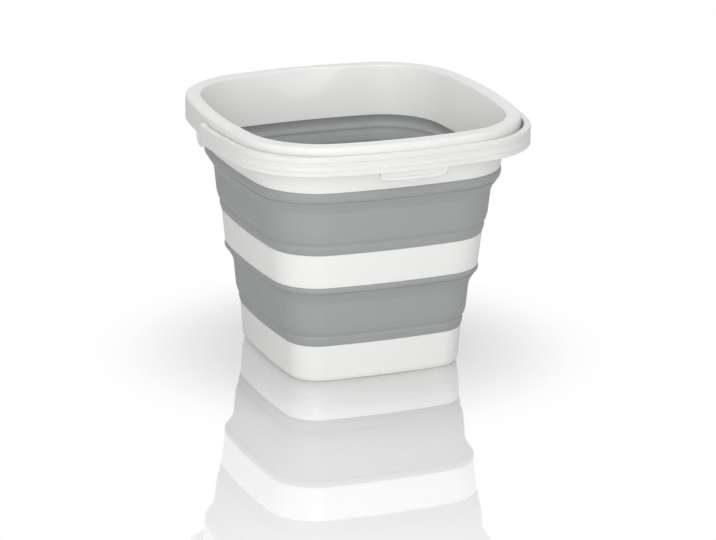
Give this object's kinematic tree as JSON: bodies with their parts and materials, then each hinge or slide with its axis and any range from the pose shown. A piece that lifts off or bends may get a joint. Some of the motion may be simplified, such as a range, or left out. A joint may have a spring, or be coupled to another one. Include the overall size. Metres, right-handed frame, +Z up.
{
  "type": "collapsible bucket",
  "caption": "Square collapsible bucket: rigid rim with pouring spout, middle ring and base joined by soft bellows, with a swinging band handle.",
  "frame": {"origin": "middle of the flat underside, on the surface that the bucket stands on", "axes": "+Z up, -Y towards the handle's grip at rest, +Y towards the pouring spout, +X to the right seen from the grip"},
  "size_m": [0.3124, 0.3047, 0.25],
  "materials": {
    "white_body": "satin moulded polypropylene, slightly warm white",
    "white_handle": "satin moulded polypropylene, slightly warm white",
    "grey_bellows": "soft satin thermoplastic elastomer, cool mid grey"
  },
  "bodies": {
    "base": {"base_tray": "white_body", "lower_bellows": "grey_bellows"},
    "middle": {"middle_ring": "white_body", "upper_bellows": "grey_bellows"},
    "rim": {"rim_frame": "white_body"},
    "handle": {"handle": "white_handle"}
  },
  "joints": [
    {"name": "lower_fold", "type": "slide", "parent": "base", "child": "middle", "axis": [0, 0, -1], "range_m": [0, 0.09], "deforming": ["lower_bellows"]},
    {"name": "upper_fold", "type": "slide", "parent": "middle", "child": "rim", "axis": [0, 0, -1], "range_m": [0, 0.092], "deforming": ["upper_bellows"]},
    {"name": "handle_swing", "type": "hinge", "parent": "rim", "child": "handle", "pos_m": [0, 0, 0.2322], "axis": [-1, 0, 0], "range_deg": [0, 180]}
  ]
}
